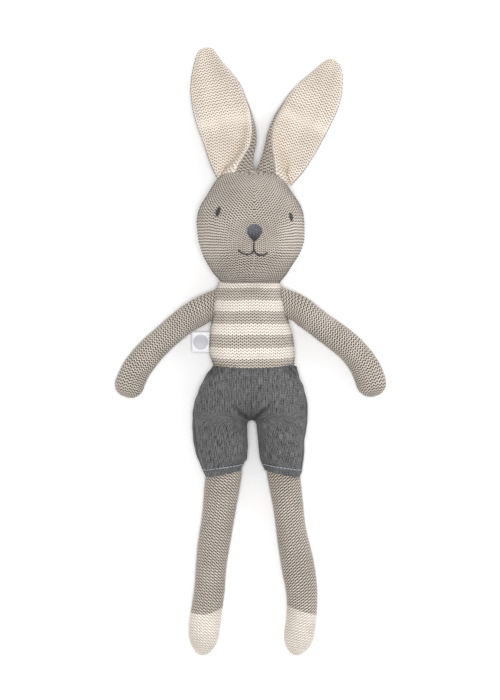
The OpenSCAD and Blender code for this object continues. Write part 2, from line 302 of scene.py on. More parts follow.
class Paint:
    """A small helper for building one node material."""

    def __init__(self, name):
        self.material = bpy.data.materials.new(name)
        self.material.use_nodes = True
        self.tree = self.material.node_tree
        self.tree.nodes.clear()
        self.out = self.add("ShaderNodeOutputMaterial")
        self.shader = self.add("ShaderNodeBsdfPrincipled")
        self.join(self.shader.outputs[0], self.out.inputs["Surface"])

    def add(self, kind, inputs=None, **settings):
        node = self.tree.nodes.new(kind)
        for key, value in settings.items():
            setattr(node, key, value)
        for key, value in (inputs or {}).items():
            self.put(node.inputs[key], value)
        return node

    def join(self, a, b):
        self.tree.links.new(a, b)

    def put(self, socket, value):
        if isinstance(value, bpy.types.NodeSocket):
            self.join(value, socket)
        else:
            socket.default_value = value

    def attribute(self, name):
        return self.add("ShaderNodeAttribute", attribute_name=name).outputs["Fac"]

    def place(self):
        return self.add("ShaderNodeTexCoord").outputs["Object"]

    def uv(self):
        return self.add("ShaderNodeUVMap", uv_map="weave").outputs[0]

    def scaled(self, vector, scale):
        return self.add("ShaderNodeMapping", {"Vector": vector, "Scale": scale}).outputs[0]

    def noise(self, vector, scale, detail=2.0, rough=0.5):
        inputs = {"Vector": vector, "Scale": scale, "Detail": detail, "Roughness": rough}
        return self.add("ShaderNodeTexNoise", inputs).outputs[0]

    def math(self, kind, a, b=0.0, c=0.0):
        return self.add("ShaderNodeMath", {0: a, 1: b, 2: c}, operation=kind).outputs[0]

    def span(self, value, low, high, to_low=0.0, to_high=1.0):
        inputs = {"Value": value, "From Min": low, "From Max": high, "To Min": to_low, "To Max": to_high}
        return self.add("ShaderNodeMapRange", inputs, interpolation_type="SMOOTHSTEP").outputs[0]

    def mix(self, share, a, b, kind="MIX"):
        inputs = {0: share, 6: a, 7: b}
        return self.add("ShaderNodeMix", inputs, data_type="RGBA", blend_type=kind).outputs[2]

    def bump(self, height, strength, distance):
        node = self.add("ShaderNodeBump", {"Height": height, "Strength": strength, "Distance": distance})
        self.join(node.outputs[0], self.shader.inputs["Normal"])

    def finish(self, colour, rough, **fixed):
        self.put(self.shader.inputs["Base Color"], colour)
        self.put(self.shader.inputs["Roughness"], rough)
        for key, value in fixed.items():
            self.shader.inputs[key.replace("_", " ")].default_value = value
        return self.material


def rgb(red, green, blue):
    """A colour given as it looks on screen, 0 to 255."""
    flat = [x / 255 for x in (red, green, blue)]
    linear = [x / 12.92 if x <= 0.04045 else ((x + 0.055) / 1.055) ** 2.4 for x in flat]
    return (*linear, 1.0)


# yarn colours, each with the colour of the painted shade in its gaps
GREY = rgb(212, 202, 191)
GREY_GAP_SHADE = rgb(44, 34, 27)
CREAM = rgb(243, 237, 229)
CREAM_GAP_SHADE = rgb(158, 143, 128)


def knit_material(name, light, gap, stripe=None, stripe_gap=None, warm_crease_shade=None):
    """Fine soft yarn: lighter on the strands, painted shade in the gaps, with fibres, and a wandering tone.
    """
    p = Paint(name)
    place = p.place()
    colour_top, colour_gap = light, gap
    if stripe:
        share = p.attribute("stripe")
        colour_top = p.mix(share, light, stripe)
        colour_gap = p.mix(share, gap, stripe_gap)
    fibre = p.noise(place, 2600, 3, 0.65)
    tone = p.noise(place, 45, 3, 0.6)
    fleck = p.noise(place, 520, 2, 0.5)
    # painted shade in the gaps between the strands, broken up by flecks
    shade = p.span(p.attribute("gap"), 0.1, 0.8)
    shade = p.math("ADD", shade, p.math("MULTIPLY", p.math("SUBTRACT", fleck, 0.5), 0.22))
    colour = p.mix(shade, colour_top, colour_gap)
    colour = p.mix(p.span(fibre, 0.3, 0.7, 0.0, 0.16), colour, colour_gap)
    lighten = p.span(tone, 0.3, 0.7, 0.9, 1.06)
    tint = p.add("ShaderNodeCombineColor")
    for k, socket in enumerate(tint.inputs[:3]):
        p.put(socket, p.math("POWER", lighten, (0.95, 1.0, 1.05)[k]))
    colour = p.mix(1.0, colour, tint.outputs[0], "MULTIPLY")
    # painted warm shade in the creases, from the crease layer
    if warm_crease_shade:
        colour = p.mix(p.math("MULTIPLY", p.attribute("crease"), 0.55), colour, warm_crease_shade, "MULTIPLY")
    p.bump(p.math("ADD", fibre, p.math("MULTIPLY", fleck, 0.6)), 0.35, 0.0003)
    return p.finish(
        colour, p.span(fibre, 0.2, 0.8, 0.82, 0.97),
        Sheen_Weight=0.15, Sheen_Roughness=0.6, Sheen_Tint=(1.0, 0.98, 0.95, 1.0), Specular_IOR_Level=0.25,
    )


def thread_material(name, light, dark, rough=0.45, shaded=False):
    """Twisted embroidery thread with a soft lustre."""
    p = Paint(name)
    place = p.place()
    strand = p.noise(p.scaled(place, (3.2, 1.0, 1.4)), 1500, 3, 0.6)
    broad = p.noise(place, 260, 2, 0.5)
    colour = p.mix(p.span(strand, 0.35, 0.68), light, dark)
    colour = p.mix(p.span(broad, 0.35, 0.7, 0.0, 0.45), colour, dark)
    # painted shade and highlight from the shade layer
    if shaded:
        colour = p.mix(p.attribute("shade"), colour, dark)
    p.bump(strand, 0.5, 0.0002)
    gloss = p.span(strand, 0.3, 0.7, rough, rough + 0.2)
    return p.finish(colour, gloss, Sheen_Weight=0.2, Specular_IOR_Level=0.45)


def chambray_material():
    """Woven cotton: fine crossing threads, with uneven lighter slubs that run down the cloth."""
    p = Paint("chambray")
    uv = p.uv()
    slub = p.noise(p.scaled(uv, (1.0, 0.10, 1.0)), 1.9, 2, 0.65)
    cross = p.noise(p.scaled(uv, (0.2, 1.0, 1.0)), 1.9, 2, 0.6)
    speck = p.noise(p.scaled(uv, (1.0, 0.8, 1.0)), 1.9, 2, 0.6)
    cloud = p.noise(p.place(), 38, 3, 0.6)
    warp, weft = (
        p.add(
            "ShaderNodeTexWave", {"Vector": uv, "Scale": scale, "Distortion": 1.6, "Detail Scale": 0.8},
            wave_type="BANDS", bands_direction=direction, wave_profile="SIN",
        ).outputs["Fac"] for direction, scale in (("X", 0.27), ("Y", 0.3)))
    weave = p.math("MAXIMUM", warp, weft)
    light = 0.0
    for source, share in ((slub, 0.50), (cross, 0.18), (speck, 0.16), (warp, 0.1), (weft, 0.06)):
        light = p.math("MULTIPLY_ADD", source, share, light)
    colour = p.mix(p.span(light, 0.375, 0.61), rgb(14, 14, 15), rgb(120, 120, 121))
    colour = p.mix(p.span(cloud, 0.35, 0.7, 0.0, 0.16), colour, rgb(66, 66, 68))
    # painted shade from the crease layer: folds, pleats, seams and edges
    colour = p.mix(p.attribute("crease"), colour, rgb(30, 30, 32))
    p.bump(p.math("ADD", weave, p.math("MULTIPLY", slub, 1.2)), 0.4, 0.0002)
    rough = p.span(slub, 0.3, 0.7, 0.8, 0.95)
    return p.finish(colour, rough, Sheen_Weight=0.12, Sheen_Roughness=0.5, Specular_IOR_Level=0.25)


def satin_material(centre, radius):
    """White satin tape with a plain printed dot."""
    p = Paint("white_satin")
    place = p.place()
    flat = p.add("ShaderNodeVectorMath", {0: place, 1: (1, 1, 0)}, operation="MULTIPLY").outputs[0]
    spot = p.add("ShaderNodeVectorMath", {0: flat, 1: (*centre, 0)}, operation="DISTANCE")
    dot = p.span(spot.outputs["Value"], radius * 0.96, radius, 1.0, 0.0)
    lines = p.noise(p.scaled(place, (1.0, 8.0, 1.0)), 900, 2, 0.5)
    colour = p.mix(dot, rgb(226, 226, 230), rgb(176, 175, 182))
    colour = p.mix(p.span(lines, 0.3, 0.8, 0.0, 0.14), colour, rgb(170, 170, 180))
    p.bump(lines, 0.25, 0.0001)
    return p.finish(colour, p.span(lines, 0.3, 0.7, 0.32, 0.5), Sheen_Weight=0.3, Specular_IOR_Level=0.5)


def floor_material():
    """White paper with a faint grain."""
    p = Paint("white_paper")
    grain = p.noise(p.place(), 900, 3, 0.6)
    colour = p.mix(p.span(grain, 0.3, 0.7), rgb(252, 252, 252), rgb(249, 249, 250))
    p.bump(grain, 0.05, 0.0001)
    return p.finish(colour, 0.9, Specular_IOR_Level=0.1)


GREY_KNIT = knit_material("grey_knit", GREY, GREY_GAP_SHADE)
BACK_KNIT = knit_material("ear_back_knit", rgb(190, 180, 169), rgb(40, 31, 25))
EAR_KNIT = knit_material("ear_knit", rgb(232, 223, 211), rgb(112, 94, 78), warm_crease_shade=rgb(238, 221, 202))
STRIPED_KNIT = knit_material("striped_knit", GREY, GREY_GAP_SHADE, stripe=CREAM, stripe_gap=CREAM_GAP_SHADE)
CHAMBRAY = chambray_material()
CHARCOAL = thread_material("charcoal_thread", rgb(62, 60, 60), rgb(18, 17, 18))
NOSE_THREAD = thread_material("nose_thread", rgb(128, 128, 138), rgb(22, 21, 25), shaded=True)
SEAM_THREAD = thread_material("seam_thread", rgb(150, 138, 127), rgb(72, 62, 54), rough=0.7)
GREY_THREAD = thread_material("grey_thread", rgb(190, 178, 166), rgb(118, 104, 92), rough=0.7)
PALE_THREAD = thread_material("pale_thread", rgb(196, 202, 210), rgb(130, 136, 146), rough=0.6)
ELASTIC = thread_material("elastic", rgb(240, 240, 238), rgb(170, 170, 172), rough=0.75)


def dress(name, p, wrap, out, u, v, material, deep=0.75, fade=1.0, crease=0.0, stripe=None, strong=1.0,
          tip=None, **stitch):
    """Knits a surface: raises the grid p by the yarn's height, and marks its gaps' painted shade for the
    material.

    The knit is flat where fade is 0. crease marks painted warm shade, and strong darkens the painted gap
    shade.
    stripe gives the share of cream yarn from the place in rows. tip closes the last ring, and stitch is for
    knit().
    """
    height, dark, at = knit(u, v, **stitch)
    p = raised(p, wrap, out, deep * (height - 0.55) * fade)
    p[..., 2] = np.maximum(p[..., 2], 0.15)
    # painted shade in the gaps, weaker where the knit is flat
    gap = np.clip(dark * strong * (0.5 + 0.5 * fade), 0, 1.1)
    layers = {"gap": gap, "crease": crease * np.ones_like(height)}
    if stripe is not None:
        layers["stripe"] = stripe(at)
    return grid(name, p, wrap, out, layers, material=material, tip=tip)


# ---- head

HEAD_Z = 29.4
# height along the toy, half width, half depth, middle's height
HEAD = np.array([
    [30.9, 18.3, 12.7, 23.3], [31.2, 18.9, 14.0, 25.4], [31.9, 19.4, 15.2, 27.8], [33.4, 20.8, 17.2, 28.9],
    [38.0, 24.9, 20.8, 29.4], [44.0, 28.9, 24.4, 29.4], [50.4, 32.0, 27.2, 29.4], [59.5, 34.2, 29.3, 29.4],
    [70.0, 34.6, 29.8, 29.4], [76.0, 34.1, 29.4, 29.4], [82.0, 32.4, 28.0, 29.4], [86.0, 30.2, 26.2, 29.4],
    [90.0, 27.6, 23.6, 29.4], [95.0, 24.2, 19.2, 29.4], [98.5, 21.4, 15.0, 29.4], [101.2, 18.0, 10.4, 29.4],
    [103.0, 13.4, 6.0, 29.4], [103.9, 7.0, 2.0, 29.4],
])
HEAD_POWER = 2.15
HEAD_TURN = 2.4  # how far the front seam sits to the toy's left, mm


def head_size(y):
    """Half width, half depth and middle's height of the head at y."""
    return spline(y, HEAD[:, 0], HEAD[:, 1:])


def head_front(x, y):
    """Height of the face at x, y."""
    half, deep, middle = np.moveaxis(head_size(np.asarray(y, float)), -1, 0)
    share = np.clip(np.abs(x) / half, 0, 0.999)
    return middle + deep * (1 - share**HEAD_POWER) ** (1 / HEAD_POWER)


def build_head():
    ys, along = row_steps(lambda y: head_size(y)[:, :2].mean(1), HEAD)
    half, deep, middle = head_size(ys).T
    half_wales = 36
    n = half_wales * PER_WALE + 1
    across, up = even_ovals(half, deep, HEAD_POWER, (math.pi / 2, -math.pi / 2), n)
    y = np.repeat(ys[:, None], n, 1)
    z = middle[:, None] + up
    for name, side in SIDES.items():
        x = side * across
        p = np.stack([x, y, z], -1)
        out = -side
        front = ease(z, HEAD_Z, HEAD_Z + 12)
        seam = np.exp(-np.abs(x) / 0.7)
        cheek = ease(np.abs(x), 13, 22) * ease(77 - y, 0, 14) * ease(y, 42, 52)
        chin = front * (1 - ease(y, 44, 54)) * (1 - ease(np.abs(x), 16, 27))
        soft = lumps(p, 3, 38, 0.55) * ease(y, 32, 40) * ease(103.5 - y, 0, 8)
        nose_pull = hump(y, 58, 7) * hump(x, 0, 9) * front * 0.8
        p = raised(p, False, out, soft - 0.3 * seam - nose_pull)
        p[..., 0] += HEAD_TURN * front * (1 - (x / half[:, None]) ** 2) * ease(y, 34, 46) - 0.3
        # the rows dip to the middle of the brow and rise a little at the mouth
        dip = 10.5 * np.clip(1 - np.abs(x) / 27, 0, 1) ** 1.15 * front * ease(y, 50, 74)
        rise = 2.2 * np.clip(1 - np.abs(x) / 16, 0, 1) ** 1.2 * front * hump(y, 44, 9)
        above = 0.5 * (y - 56 + np.sqrt((y - 56) ** 2 + 36))
        lead = 0.36 * above * np.clip(1 - np.abs(x) / 34, 0, 1) * front
        u = np.linspace(0, half_wales, n) + 0.25 + lead / WALE
        v = (along[:, None] + dip - rise) / ROW
        obj = dress(
            f"head_{name}_knit", p, False, out, u, v, GREY_KNIT, seed=5, fade=ease(103.9 - y, 0, 1.5),
            line=0.25 + 0.35 * cheek - 0.08 * chin, zig=0.25 - 0.17 * cheek,
            lean=0.6 * front * (1 - cheek) * (0.45 + 0.55 * ease(y, 54, 66)),
            # painted gap shade: lighter on the cheeks and darker under the chin
            strong=1.05 - 0.25 * cheek + 0.28 * chin,
        )
        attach(obj, "head")
        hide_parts(f"head_panel_{name}", *(["head_filling"] if name == "left" else []))


build_head()

# ---- face


def on_face(x, y, lift):
    """Points that stand lift above the face."""
    return np.column_stack([x, y, head_front(x, y) + lift])


def build_eye(name, at, tilt, wide, tall):
    """A satin-stitched oval: long stitches laid side by side."""
    lines = []
    t = np.linspace(-1, 1, 15)
    for across in np.linspace(-1, 1, 7):
        a = across * (wide / 2 - 0.35)
        b = tall / 2 * math.sqrt(max(0.08, 1 - (0.93 * across) ** 2)) * t
        x = at.x + a * math.cos(tilt) - b * math.sin(tilt)
        y = at.y + a * math.sin(tilt) + b * math.cos(tilt)
        lines.append(on_face(x, y, 0.35 + 0.5 * (1 - across**2) * (1 - t**4)))
    obj = threads(f"eye_{name}_thread", lines, 0.42, CHARCOAL, sides=10)
    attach(obj, "head")
    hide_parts(f"eye_{name}")


def build_nose(low, high):
    """Upright satin stitches between low and high, in a full layer and a looser one above it."""
    middle, wide = (low.x + high.x) / 2, (high.x - low.x) / 2 + 0.4
    layers = ((17, 1.0, 0.0, 0.4, 0.3, 0.3, 0.0), (12, 0.88, 0.5, -0.4, 0.6, 0.55, 0.25))
    t = np.linspace(0, 1, 25)
    lines = []
    for count, reach, lower, longer, inset, lift, sway in layers:
        for across in np.linspace(-reach, reach, count):
            top = high.y - lower - 4.4 * (1 - math.sqrt(max(0, 1 - across**2)))
            bottom = low.y - longer + (high.y - low.y - 5.0) * abs(across) ** 1.5
            x = middle + across * (wide - inset) * np.ones_like(t) + sway * np.sin(9 * across)
            dome = (1 - across**2) ** 0.5 * np.sin(math.pi * np.clip(t * 0.92 + 0.04, 0, 1)) ** 0.5
            lines.append(on_face(x, bottom + (top - bottom) * t, lift + 2.0 * dome))

    # painted shade toward the tip and a painted highlight at the upper left, over strands of uneven tone
    def shade(p):
        x, y = p[:, 0], p[:, 1]
        down = ease(high.y - y, 0.42 * (high.y - low.y), high.y - low.y)
        left = ease(middle + 0.8 - x, -3, 3) * ease(y, low.y + 2.5, high.y - 2)
        strand = 0.5 + 0.5 * np.sin(3.1 * (x - middle) + 0.7 * np.sin(y))
        return np.clip(0.12 + 0.62 * down + 0.34 * strand - 0.34 * left, 0, 0.9)

    return threads("nose_thread", lines, 0.4, NOSE_THREAD, shade=shade)


def build_mouth(top):
    """Three stitched strokes, each of two strands twisted together, from the point top under the nose."""
    middle = (1.9, 52.8)
    strokes = [
        [top, (1.9, 56.4), (1.7, 54.0), (1.8, 51.6)],
        [(-8.4, 52.3), (-6.6, 50.7), (-3.4, 49.5), (-0.6, 49.8), (1.1, 51.0), middle],
        [middle, (2.6, 50.8), (5.0, 49.1), (7.8, 49.1), (9.6, 49.9), (10.7, 50.6)],
    ]
    twist = np.linspace(0, 9 * math.pi, 60)
    lines = []
    for stroke in strokes:
        x, y = path(stroke, np.linspace(0, 1, 60)).T
        for shift in (-0.2, 0.2):
            aside, lift = shift * np.cos(twist), shift * np.sin(twist)
            lines.append(on_face(x + aside, y - 0.6 + lift, 0.45 + lift))
    return threads("mouth_thread", lines, 0.42, CHARCOAL)


def build_face():
    for name, tilt, wide, tall in (("left", 10, 2.4, 5.6), ("right", -19, 2.9, 6.6)):
        low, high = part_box(f"eye_{name}")
        build_eye(name, (low + high) / 2 / MM, math.radians(tilt), wide, tall)
    low, high = (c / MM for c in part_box("nose"))
    low.y, high.y = low.y - 1.1, high.y - 1.0
    nose = build_nose(low, high)
    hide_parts("nose")
    mouth = build_mouth(((low.x + high.x) / 2 - 0.1, low.y + 0.6))
    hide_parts("mouth")
    for obj in (nose, mouth):
        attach(obj, "head")


build_face()

# ---- body

# height along the toy, middle across, half width, lowest and highest point
TORSO = np.array([
    [-34.0, 1.5, 24.2, 2.0, 38.0], [-29.0, 1.9, 24.6, 0.8, 39.4], [-25.0, 1.9, 25.2, 0.4, 40.0],
    [-20.5, 1.5, 26.4, 0.2, 40.3], [-15.0, 0.8, 27.6, 0.1, 40.4], [-4.0, 0.3, 26.6, 0.1, 40.4],
    [8.0, -0.6, 24.4, 0.1, 40.0], [17.0, -1.2, 23.0, 0.3, 38.6], [22.5, -1.4, 22.2, 1.6, 36.6],
    [27.0, -1.2, 21.2, 4.6, 34.6], [29.6, -1.0, 20.2, 7.0, 34.6], [31.8, -1.0, 19.4, 9.4, 36.6],
    [34.0, -1.0, 17.0, 12.0, 35.0],
])
TORSO_POWER = 2.45


def torso_size(y):
    """Middle across, half width, lowest and highest point of the torso at y."""
    return spline(y, TORSO[:, 0], TORSO[:, 1:])


def build_torso():
    ys, along = row_steps(lambda y: torso_size(y)[:, 1], TORSO)
    middle, half, low, high = torso_size(ys).T
    half_wales = 29
    n = half_wales * PER_WALE + 1
    y = np.repeat(ys[:, None], n, 1)
    near_seam = np.minimum(np.arange(n), n - 1 - np.arange(n)) * 0.4
    seam = np.exp(-near_seam / 0.9) * np.ones_like(y)
    for name, out in (("front", 1.0), ("back", -1.0)):
        across, up = even_ovals(half, (high - low) / 2, TORSO_POWER, (0, out * math.pi), n)
        x = middle[:, None] + across
        p = np.stack([x, y, ((low + high) / 2)[:, None] + up], -1)
        soft = lumps(p, 11, 30, 0.5) * ease(y, -30, -20) * ease(30 - y, 0, 8)
        p = raised(p, False, out, soft - 0.6 * seam)
        sag = 1.2 * (1 - (x / 26) ** 2) * ease(10 - y, 0, 30)
        # whole rows from the neck's seam, where the first stripe starts
        v = (along[:, None] - np.interp(27.1, ys, along) + sag) / ROW + 100 * 8 - 0.5
        obj = dress(
            f"torso_{name}_knit", p, False, out, np.linspace(0, half_wales, n), v, STRIPED_KNIT, seed=9,
            crease=seam * 0.5, stripe=lambda at: ease(
                3.84 - np.abs(np.mod(at + 0.5, 2 * STRIPE_ROWS) - 2.0) * 2, -0.35, 0.35),
        )
        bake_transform(obj)
        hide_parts(f"torso_{name}", *(["torso_filling"] if name == "front" else []))


build_torso()

# ---- arms and legs


def toward_tip(steps, before, tip, turn):
    """Shares along a limb, closer and closer at its end, and how wide the rounded end is at each of them.

    The steps run evenly up to the share tip, which they reach at before; the end rounds off from turn on.
    """
    t = np.linspace(0, 1, steps)
    slowing = np.sin((t - before) / (1 - before) * 0.5 * math.pi * 0.985)
    t = np.where(t < before, t / before * tip, tip + (1 - tip) * slowing)
    bend = np.clip((t - turn) / (1 - turn), 0, 1)
    return t, np.sqrt(np.clip(1 - bend**2, 0.0004, 1))


def limb(line, shares, half, deep, heights, wales, seam=None):
    """Grid of a limb, its stitches round, its length so far, and its middle.

    line is the middle in plan, heights is the middle's height, and seam is the direction of the first ring.
    """
    flat = path(line, shares)
    flow = unit(np.gradient(flat, axis=0))
    across = np.column_stack([flow[:, 1], -flow[:, 0]])
    if seam is not None:
        share = ease(shares, 0.0, 0.26)[:, None]
        across = unit(across * share + np.array(seam) * (1 - share))
    n = wales * PER_WALE
    aside, up = even_ovals(half, deep, 2.15, (-math.pi / 2, 1.5 * math.pi), n + 1)
    aside, up = aside[:, :n, None], up[:, :n, None]
    middle = np.column_stack([flat, heights])
    p = np.concatenate([flat[:, None] + across[:, None] * aside, heights[:, None, None] + up], -1)
    return p, np.linspace(0, wales, n, endpoint=False), lengths(np.column_stack([flat, half])), middle


ARM_LINE = {
    "left": [(20.5, 18.6), (30, 14.2), (38.6, 8.8), (50.5, 0.2), (58.6, -6.4), (66.2, -13.0),
             (72.2, -19.7), (76.2, -26.2), (78.8, -32.8), (80.9, -43.8)],
    "right": [(-22, 17.6), (-30.2, 13.8), (-38.7, 9), (-51.2, 0), (-58.8, -6.4), (-65.4, -13.0),
              (-70.8, -19.7), (-75.4, -26.2), (-78.6, -32.8), (-82, -44.2)],
}
ARM_LENGTH = 94


def build_arm(name):
    side = SIDES[name]
    t, close = toward_tip(int(ARM_LENGTH * PER_ROW / ROW), 0.86, 0.915, 0.9)
    half = spline(t, [0, 0.12, 0.3, 0.6, 0.85, 1], [10.2, 9.4, 8.5, 8.9, 9.5, 9.6]) * close
    deep = spline(t, [0, 0.1, 0.3, 0.6, 0.85, 1], [6.4, 7.0, 8.3, 8.9, 9.1, 9.1])
    deep = deep * (0.25 + 0.75 * close) * close**0.5
    heights = spline(t, [0, 0.12, 0.25, 0.4, 0.55, 1], [20.0, 18.6, 15.4, 11.8, 9.6, 9.2])
    heights = np.maximum(heights, deep * 0.99)
    p, u, length, middle = limb(ARM_LINE[name], t, half, deep, heights, 21, seam=(0.1, -side))
    out = -1.0
    soft = lumps(p, 21 + len(name), 26, 0.4) * (ease(length, 2, 8) * ease(close, 0.1, 0.7))[:, None]
    p = raised(p, True, out, soft)
    obj = dress(
        f"arm_{name}_knit", p, True, out, u, length[:, None] / ROW, GREY_KNIT, seed=13, lean=0.3,
        rise=-int(side), strong=1.15, fade=ease(close, 0.12, 0.55)[:, None], tip=middle[-1],
    )
    start, end = (side * 22.5 * MM, 17.5 * MM, SEAM_Z * MM), (side * 35 * MM, 12.5 * MM, SEAM_Z * MM)
    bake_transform(obj)
    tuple(start)
    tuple(end)
    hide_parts(f"arm_{name}_cover", f"arm_{name}_filling")


for name in SIDES:
    build_arm(name)

LEG_LINE = {
    "left": [(15, -51), (18.4, -75), (21.4, -96), (23.8, -112), (26.2, -130), (30.8, -154),
             (33.6, -175), (33.2, -188), (31.6, -201), (29.2, -214)],
    "right": [(-13, -51), (-15.6, -75), (-17.7, -96), (-19.5, -110), (-22.4, -128), (-26.2, -155),
              (-28.0, -175), (-29.6, -188), (-31.0, -201), (-32.4, -214)],
}
LEG_LENGTH = 163
LEG_HALF = {
    "left": [10.8, 10.4, 10.1, 10.1, 10.4, 10.0, 9.8, 9.8, 9.4],
    "right": [10.8, 11.6, 11.4, 10.3, 9.9, 9.9, 10.4, 10.1, 9.4],
}
# where the cream yarn starts, at the outer and inner side, and how far it dips between them
YARN_CHANGE = {"left": (-187.4, -180.6, 0.6), "right": (-185.4, -182.0, 2.8)}


def build_leg(name):
    side = SIDES[name]
    tip = 0.925
    t, close = toward_tip(int(172 * PER_ROW / ROW), 0.9, tip, 0.905)
    half = spline(t, [0, 0.25, 0.33, 0.49, 0.65, 0.77, 0.88, 0.93, 1], LEG_HALF[name]) * close
    deep = spline(t, [0, 0.25, 0.5, 0.78, 0.9, 1], [10.6, 11.0, 10.8, 10.3, 10.0, 9.4])
    deep = deep * (0.3 + 0.7 * close) * close**0.4
    down = t * LEG_LENGTH
    # under the shorts the leg is narrower and lies higher
    gathered = 1 - 0.36 * (1 - ease(down, 18, 43))
    heights = deep * 0.985 + np.maximum(0, 8.6 * (1 - down / 58))
    heights = np.where(t > tip, np.maximum(heights, 7.0), heights)
    p, u, length, middle = limb(LEG_LINE[name], t, half * gathered, deep * gathered, heights, 25)
    out = -1.0
    soft = lumps(p, 41 + len(name), 34, 0.42) * ease(close, 0.1, 0.7)[:, None]
    p = raised(p, True, out, soft)
    v = length[:, None] / ROW
    outer, inner, dip = YARN_CHANGE[name]
    share = np.clip(0.5 - side * (p[..., 0] - middle[:, :1]) / 21, 0, 1)
    past = outer + (inner - outer) * share - dip * np.sin(math.pi * share) - p[..., 1]
    split = int(np.argmax((past > 0).all(1))) - 1
    cream = ease(past, -0.45, 0.45)
    fade = ease(close, 0.03, 0.3)[:, None]
    pieces = (
        (f"leg_{name}_cover", slice(0, split + 1), "grey_knit", 1.0, None),
        (f"foot_{name}_cover", slice(split, len(t)), "cream_knit", 0.9, middle[-1]),
    )
    for piece, part, slot, strong, close_at in pieces:
        obj = dress(
            piece.replace("cover", "knit"), p[part], True, out, u, v[part], STRIPED_KNIT, seed=17, lean=0.8,
            zig=0.19, rise=-int(side), strong=strong, fade=fade[part],
            stripe=lambda at, part=part: cream[part], tip=close_at,
        )
        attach(obj, f"leg_{name}")
        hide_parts(piece, *([f"leg_{name}_filling"] if "leg" in piece else []))


for name in SIDES:
    build_leg(name)

# ---- ears

# along the ear, then across from its base's middle: outer edge, inner edge, lip where the lining starts
EAR = {
    "left": np.array([
        [-6, 8.6, -15.6, -1.5], [0, 10.6, -15.9, -4.6], [6, 12.6, -16.5, -8.0], [12, 13.9, -17.7, -11.8],
        [21, 15.3, -19.3, -15.9], [31, 16.0, -19.6, -17.3], [41, 16.9, -18.2, -16.9],
        [51, 17.2, -15.6, -15.1], [60, 16.3, -12.6, -12.3], [68, 14.0, -9.1, -9.0], [75, 11.0, -5.6, -5.5],
        [79.5, 7.6, -3.0, -2.9], [81.8, 4.0, -1.0, -0.9], [82.4, 1.25, 0.95, 0.98]]),
    "right": np.array([
        [-6, 6.2, -18.4, -3.6], [0, 8.2, -18.5, -7.0], [6, 9.7, -19.4, -12.0], [14, 11.2, -22.0, -17.8],
        [24, 13.1, -23.4, -20.6], [34, 15.1, -22.8, -21.6], [44, 15.9, -20.6, -20.1],
        [54, 15.4, -17.6, -17.2], [61, 14.0, -13.9, -13.7], [70, 11.2, -9.1, -9.0], [76, 8.6, -6.2, -6.1],
        [79.6, 6.4, -4.4, -4.3], [81.4, 4.4, -2.8, -2.7], [82.3, 0.65, 0.35, 0.38]]),
}
EAR_LENGTH = 82
# where along each ear the painted highlight of its bend lies, mm
EAR_HIGHLIGHT_BAND = {"left": 36.0, "right": 31.5}
EAR_TURN = {"left": math.radians(23.3), "right": math.radians(8.9)}


def ear_section(outer, inner, lip, crease, fold, thin, steps):
    """Points of the lining and of the back, across and up, in each ring from the base to the tip."""
    wide = outer - inner
    middle = lip + (outer - lip) * 0.55
    cup = 1.1 * ease(steps, 6, 40) * thin
    lining = [
        (lip, 1.0 + 5.2 * fold), (lip + 1.4 * thin + fold, 2.2 + 4.6 * fold), (crease, 2.2 - 1.9 * fold),
        (middle, 2.5 - cup), (outer - 0.192 * wide, 2.3), (outer - 1.4 * thin, 1.5),
        (outer - 0.6 * thin, 1.0),
    ]
    back = [
        (outer - 0.6 * thin, 1.0), (outer, 0.0), (outer - 0.9 * thin, -1.3), (outer - 0.2 * wide, -2.4),
        (middle, -2.6), (inner + 0.2 * wide, -2.5 + 0.8 * fold), (inner + 0.9 * thin, -1.2 + 2.2 * fold),
        (inner, 0.2 + 3.4 * fold), (inner + 0.25 * (lip - inner), 1.0 + 4.9 * fold), (lip, 1.0 + 5.2 * fold),
    ]
    return [np.stack([np.column_stack([b, up * thin]) for b, up in keys], 1) for keys in (lining, back)]


